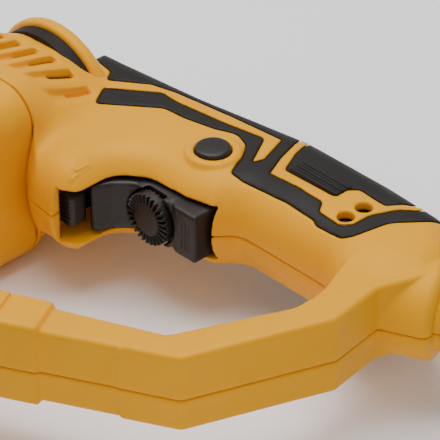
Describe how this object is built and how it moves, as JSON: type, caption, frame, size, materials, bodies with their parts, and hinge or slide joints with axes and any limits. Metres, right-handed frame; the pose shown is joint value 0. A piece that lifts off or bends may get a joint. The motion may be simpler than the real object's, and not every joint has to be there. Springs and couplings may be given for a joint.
{
  "type": "demolition hammer",
  "caption": "Corded barrel-type electric hammer lying on its side: D-handle with trigger, speed dial, lock button, gear drive, hammer spindle, side handle.",
  "frame": {"origin": "mouth of the bit socket, on the spindle axis", "axes": "+X out of the bit socket, +Y from the barrel to the foot of the grip, +Z to the tool's left, which is up as it lies on its right side"},
  "size_m": [0.4038, 0.45, 0.077],
  "materials": {
    "yellow_plastic": "satin",
    "black_rubber": "matte",
    "black_plastic": "satin",
    "steel": "turned",
    "cast_alloy": "cast",
    "copper": "enamelled wire",
    "carbon": "matte",
    "board": "satin",
    "red_lens": "gloss",
    "green_lens": "gloss"
  },
  "bodies": {
    "casing": {"handle_shell_left": "yellow_plastic", "handle_shell_right": "yellow_plastic", "grip_rubber_left": "black_rubber", "grip_rubber_right": "black_rubber", "rear_band": "black_rubber", "rear_cap": "yellow_plastic", "motor_housing": "yellow_plastic", "gear_housing": "cast_alloy", "nose_housing": "cast_alloy", "bearing_plate": "cast_alloy", "stator_core": "steel", "stator_coils": "copper", "brush_holders": "black_plastic", "carbon_brushes": "carbon", "brush_springs": "steel", "rear_bearing": "steel", "front_bearing": "steel", "wobble_ring": "steel", "counter_bearings": "steel", "spindle_bearings": "steel", "switch_body": "black_plastic", "trigger_spring": "steel", "led_board": "board", "led_lens_red": "red_lens", "led_lens_green": "green_lens", "handle_screws": "steel", "housing_screws": "steel", "cord_clamp": "black_plastic", "strain_relief": "black_rubber", "mains_lead": "black_rubber", "lead_coil": "black_rubber", "plug": "black_plastic"},
    "armature": {"armature_shaft": "steel", "armature_core": "steel", "armature_windings": "copper", "commutator": "copper", "cooling_fan": "black_plastic"},
    "counter_drive": {"countershaft": "steel", "counter_gear": "steel", "counter_pinion": "steel", "wobble_hub": "steel"},
    "spindle": {"spindle_tube": "steel", "spindle_gear": "steel", "locking_balls": "steel", "sleeve_spring": "steel", "dust_cap": "black_rubber"},
    "piston_body": {"piston": "steel"},
    "striker_body": {"striker": "steel", "striker_ring": "black_rubber"},
    "impact_bolt_body": {"impact_bolt": "steel"},
    "sleeve_body": {"release_sleeve": "black_plastic"},
    "mode_knob_body": {"mode_knob": "black_plastic"},
    "trigger_body": {"trigger": "black_plastic"},
    "dial_body": {"speed_dial": "black_plastic"},
    "lever_body": {"direction_lever": "black_plastic"},
    "button_body": {"lock_button": "black_plastic"},
    "side_handle": {"side_handle_collar": "black_plastic", "side_handle_grip": "black_rubber", "collar_bolt": "steel"},
    "depth_stop": {"depth_rod": "steel"}
  },
  "joints": [
    {"name": "armature_spin", "type": "hinge", "parent": "casing", "child": "armature", "pos_m": [-0.22, 0.01, 0], "axis": [1, 0, 0], "continuous": true},
    {"name": "counter_spin", "type": "hinge", "parent": "casing", "child": "counter_drive", "pos_m": [-0.13, 0.03, 0], "axis": [1, 0, 0], "continuous": true},
    {"name": "spindle_spin", "type": "hinge", "parent": "casing", "child": "spindle", "pos_m": [-0.1, 0, 0], "axis": [1, 0, 0], "continuous": true},
    {"name": "piston_stroke", "type": "slide", "parent": "casing", "child": "piston_body", "axis": [1, 0, 0], "range_m": [0, 0.009]},
    {"name": "striker_travel", "type": "slide", "parent": "spindle", "child": "striker_body", "axis": [1, 0, 0], "range_m": [0, 0.008]},
    {"name": "bolt_travel", "type": "slide", "parent": "spindle", "child": "impact_bolt_body", "axis": [1, 0, 0], "range_m": [0, 0.002]},
    {"name": "sleeve_retract", "type": "slide", "parent": "spindle", "child": "sleeve_body", "axis": [-1, 0, 0], "range_m": [0, 0.008], "stiffness_N_per_m": 900, "springref_m": -0.01, "deforming": ["sleeve_spring"]},
    {"name": "mode_turn", "type": "hinge", "parent": "casing", "child": "mode_knob_body", "pos_m": [-0.132, 0.012, 0.035], "axis": [0, 0, 1], "range_deg": [-90, 90]},
    {"name": "trigger_squeeze", "type": "slide", "parent": "casing", "child": "trigger_body", "axis": [-1, 0, 0], "range_m": [0, 0.006], "stiffness_N_per_m": 600, "springref_m": -0.006, "deforming": ["trigger_spring"]},
    {"name": "dial_turn", "type": "hinge", "parent": "trigger_body", "child": "dial_body", "pos_m": [-0.284, 0.0845, 0], "axis": [1, 0, 0], "range_deg": [-135, 135]},
    {"name": "lever_shift", "type": "hinge", "parent": "casing", "child": "lever_body", "pos_m": [-0.29, 0.0605, 0], "axis": [0, 1, 0], "range_deg": [-9, 9]},
    {"name": "lock_press", "type": "slide", "parent": "casing", "child": "button_body", "axis": [0, 0, -1], "range_m": [0, 0.003], "stiffness_N_per_m": 400, "springref_m": -0.003},
    {"name": "side_handle_swing", "type": "hinge", "parent": "casing", "child": "side_handle", "pos_m": [-0.074, 0, 0], "axis": [1, 0, 0], "range_deg": [-75, 75]},
    {"name": "depth_slide", "type": "slide", "parent": "side_handle", "child": "depth_stop", "axis": [1, 0, 0], "range_m": [0, 0.03]}
  ],
  "couplings": [
    {"joint": "counter_spin", "follows": "armature_spin", "ratio": -0.21951},
    {"joint": "spindle_spin", "follows": "armature_spin", "ratio": 0.054878}
  ]
}
